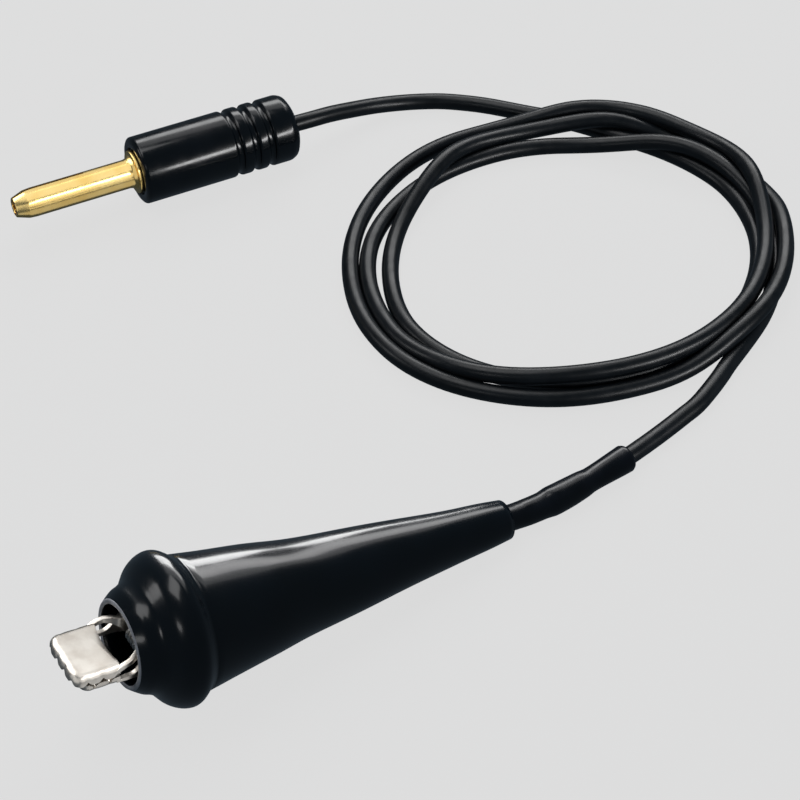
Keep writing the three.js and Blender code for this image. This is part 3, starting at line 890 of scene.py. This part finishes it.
def make_core(name, frame, start, end, height, node):
    """Seven bare strands laid together with a slow twist."""
    points, faces = [], []
    count = STRAND_STEPS * STRAND_SIDES
    for k in range(7):
        offset = 0 if k == 6 else STRAND_LAY      # the last one runs down the middle
        line = []
        for x in np.linspace(0, end - start, STRAND_STEPS):
            angle = 2 * math.pi * k / 6 + x * STRAND_TWIST
            line.append((start + x, offset * math.cos(angle), height + offset * math.sin(angle)))
        for ring in rings_along(line, [STRAND_R] * STRAND_STEPS, STRAND_SIDES):
            points.extend((frame @ Vector(p)) * MM for p in ring)
        base = k * count
        for i in range(STRAND_STEPS - 1):
            for j in range(STRAND_SIDES):
                here = base + i * STRAND_SIDES + j
                beside = base + i * STRAND_SIDES + (j + 1) % STRAND_SIDES
                faces.append((here, beside, beside + STRAND_SIDES, here + STRAND_SIDES))
        faces.append(tuple(range(base, base + STRAND_SIDES)))
        faces.append(tuple(range(base + count - STRAND_SIDES, base + count)))
    core = linked(name, cleaned(name, points, faces), COPPER, CLIP_BODY)
    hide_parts(node)
    return core


def carried_over(node, material):
    """Gives a CAD node that stays a real finish and softened edges."""
    piece = frame["nodes"][node]
    piece.data.materials.clear()
    piece.data.materials.append(material)
    ease = piece.modifiers.new("edges", "BEVEL")
    ease.width = 0.08 * MM
    ease.segments = 3
    ease.limit_method = "ANGLE"
    ease.angle_limit = math.radians(30)
    return piece


make_core("clip_core", CLIP_FRAME, 20.9, 26.9, -0.75, "clip_conductor")
plug_core = make_core("plug_core", PLUG_FRAME, 5.0, 9.9, 0, "plug_conductor")
carried_over("clip_solder", TIN)
plug_solder = carried_over("plug_solder", TIN)


# ---------------------------------------------------------------- surface and light
CENTRE = Vector((29, 26, 4)) * MM
METAL_PIECES = ("upper_jaw_pressing", "lower_jaw_pressing", "rivet", "spring", "gold_pin")


def make_surface():
    """A pale sheet that is lit and also evenly bright by itself, as a light table is."""
    mesh = bpy.data.meshes.new("surface")
    reach = 3.0                        # metres, well past every view
    corners = [(-reach, -reach, 0), (reach, -reach, 0), (reach, reach, 0), (-reach, reach, 0)]
    mesh.from_pydata(corners, [], [(0, 1, 2, 3)])
    surface = bpy.data.objects.new("surface", mesh)
    bpy.context.scene.collection.objects.link(surface)
    material = bpy.data.materials.new("pale_sheet")
    material.use_nodes = True
    tree = material.node_tree
    shader = tree.nodes["Principled BSDF"]
    grain = noise(tree, 8)
    ramp = tree.nodes.new("ShaderNodeValToRGB")
    ramp.color_ramp.elements[0].color = linear(70, 70, 70)
    ramp.color_ramp.elements[1].color = linear(74, 74, 74)
    tree.links.new(grain, ramp.inputs["Fac"])
    tree.links.new(ramp.outputs["Color"], shader.inputs["Base Color"])
    shader.inputs["Roughness"].default_value = 1.0
    shader.inputs["Specular IOR Level"].default_value = 0.0
    shader.inputs["Emission Color"].default_value = (1, 1, 1, 1)
    shader.inputs["Emission Strength"].default_value = 0.695
    mesh.materials.append(material)
    surface.visible_glossy = False
    surface.visible_diffuse = False


def softbox(name, azimuth, elevation, distance, width, height, brightness):
    """A rectangular lamp aimed at the object, its width level with the surface."""
    data = bpy.data.lights.new(name, "AREA")
    data.shape = "RECTANGLE"
    data.size = width
    data.size_y = height
    data.energy = brightness * math.pi * width * height
    lamp = bpy.data.objects.new(name, data)
    bpy.context.scene.collection.objects.link(lamp)
    a, e = math.radians(azimuth), math.radians(elevation)
    way = Vector((math.cos(a) * math.cos(e), math.sin(a) * math.cos(e), math.sin(e)))
    lamp.location = CENTRE + way * distance
    lamp.rotation_euler = (-way).to_track_quat("-Z", "Y").to_euler()
    return lamp


def shine_on(lamp, pieces):
    """Lets a lamp light only these pieces."""
    group = bpy.data.collections.new(lamp.name + "_pieces")
    for piece in pieces:
        group.objects.link(piece)
    lamp.light_linking.receiver_collection = group


# name, azimuth, elevation, distance, width, height, brightness, what it lights
LAMPS = [
    ("back_box", 52, 34, 0.8, 0.6, 0.24, 3.4, "others"),
    ("boot_box", 68, 20, 0.8, 0.44, 0.4, 8.0, "boot"),
    ("back_glow", 52, 46, 0.9, 0.9, 0.5, 0.9, "others"),
    ("front_strip", -64, 18, 0.8, 0.5, 0.12, 13.0, "straight"),
    ("top_box", 120, 75, 0.9, 0.6, 0.4, 2.0, "others"),
    ("left_box", 150, 25, 0.8, 0.22, 0.22, 2.4, "others"),
    ("left_window", -150, 32, 0.8, 0.16, 0.12, 2.4, "others"),
    ("metal_top", 0, 86, 0.7, 0.9, 0.9, 1.05, "metals"),
    ("metal_back", 55, 38, 0.7, 0.9, 0.6, 0.85, "metals"),
    ("metal_front", -72, 16, 0.7, 1.5, 0.8, 1.0, "metals"),
    ("metal_low", -70, -50, 0.7, 1.2, 0.7, 0.5, "metals"),
    ("metal_left", -165, 10, 0.7, 1.0, 0.8, 0.7, "metals"),
    ("metal_glint_left", 125, 34, 0.7, 0.6, 0.46, 3.6, "metals"),
    ("metal_glint_front", -71, 38, 0.7, 0.6, 0.14, 7.0, "metals"),
]
WORLD_COLOUR, WORLD_STRENGTH = (0.7, 0.9, 1.1, 1), 0.08


def make_light():
    """A dim world and the soft boxes. The metals and the boot have lamps of their own."""
    world = bpy.data.worlds.new("studio")
    world.use_nodes = True
    background = world.node_tree.nodes["Background"]
    background.inputs["Color"].default_value = WORLD_COLOUR
    background.inputs["Strength"].default_value = WORLD_STRENGTH
    bpy.context.scene.world = world
    metals = [bpy.data.objects[name] for name in METAL_PIECES]
    lit_by = {
        "metals": metals,
        "others": [
            o for o in bpy.data.objects if o.type in ("MESH", "CURVE") and o not in metals
        ],
        "straight": [bpy.data.objects[name] for name in ("plug_grip", "lead")],
        "boot": [bpy.data.objects["boot_shell"]],
    }
    for *lamp, brightness, lights in LAMPS:
        shine_on(softbox(*lamp, brightness), lit_by[lights])


make_surface()
make_light()
bpy.context.scene.view_settings.view_transform = "Standard"


# ---------------------------------------------------------------- bounds as plain numbers
def plain(bounds):
    """Bounds as plain numbers, for JSON."""
    return [[float(value) for value in corner] for corner in bounds]
